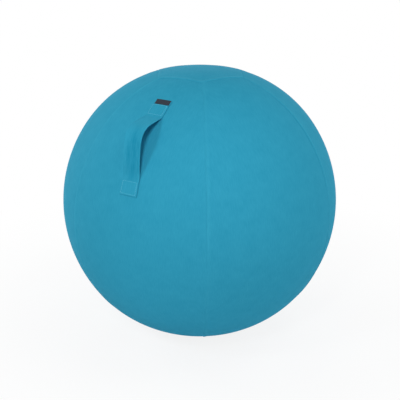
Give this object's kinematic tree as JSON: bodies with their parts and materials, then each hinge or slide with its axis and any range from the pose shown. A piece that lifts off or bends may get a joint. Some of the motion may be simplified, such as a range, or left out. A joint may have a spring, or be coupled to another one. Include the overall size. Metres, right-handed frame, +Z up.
{
  "type": "sitting ball",
  "caption": "Inflated sitting ball in a zipped turquoise fabric cover of sewn gores with a hexagonal crown, a bowed carrying strap and a ring under it that stops it rolling.",
  "frame": {"origin": "on the floor under the ball's vertical axis, in the plane of the floor ring's flat underside", "axes": "+Z up along the ball's axis; -Y towards the carrying strap; +X to the right when facing the strap"},
  "size_m": [0.6498, 0.65, 0.641],
  "materials": {
    "cover_fabric": "matt turquoise polyester knit",
    "strap_fabric": "turquoise cover fabric, doubled and sewn",
    "label_weave": "charcoal woven label, bare",
    "zip_tape": "woven polyester tape",
    "zip_coil": "nylon coil",
    "zip_metal": "dark nickel die casting",
    "floor_rubber": "matt black moulded rubber",
    "ball_vinyl": "blown grey vinyl, satin",
    "valve_plastic": "moulded white polyethylene"
  },
  "bodies": {
    "cover": {"gore_front": "cover_fabric", "gore_front_right": "cover_fabric", "gore_back_right": "cover_fabric", "gore_back": "cover_fabric", "gore_back_left": "cover_fabric", "gore_front_left": "cover_fabric", "crown_panel": "cover_fabric", "base_panel": "cover_fabric", "floor_ring": "floor_rubber", "zip_tape_upper": "zip_tape", "zip_tape_lower": "zip_tape", "zip_coil_upper": "zip_coil", "zip_coil_lower": "zip_coil", "zip_stops": "zip_metal", "strap_end_upper": "strap_fabric", "strap_end_lower": "strap_fabric", "strap_label": "label_weave", "inner_ball": "ball_vinyl", "valve_collar": "valve_plastic", "valve_plug": "valve_plastic"},
    "strap": {"strap_span": "strap_fabric"},
    "slider": {"zip_slider": "zip_metal"},
    "pull": {"zip_pull": "zip_metal"}
  },
  "joints": [
    {"name": "strap_swing", "type": "hinge", "parent": "cover", "child": "strap", "pos_m": [0.00192, -0.25131, 0.5179], "axis": [0.0383, 0.6104, 0.7912], "range_deg": [-40, 40], "stiffness_Nm_per_rad": 0.05, "deforming": ["strap_span"]},
    {"name": "zip_travel", "type": "hinge", "parent": "cover", "child": "slider", "pos_m": [0, 0, 0.0304], "axis": [0, 0, 1], "range_deg": [0, 232]},
    {"name": "pull_flip", "type": "hinge", "parent": "slider", "child": "pull", "pos_m": [-0.00986, 0.14773, 0.02818], "axis": [0.0603, -0.9033, -0.4248], "range_deg": [-80, 80]}
  ]
}
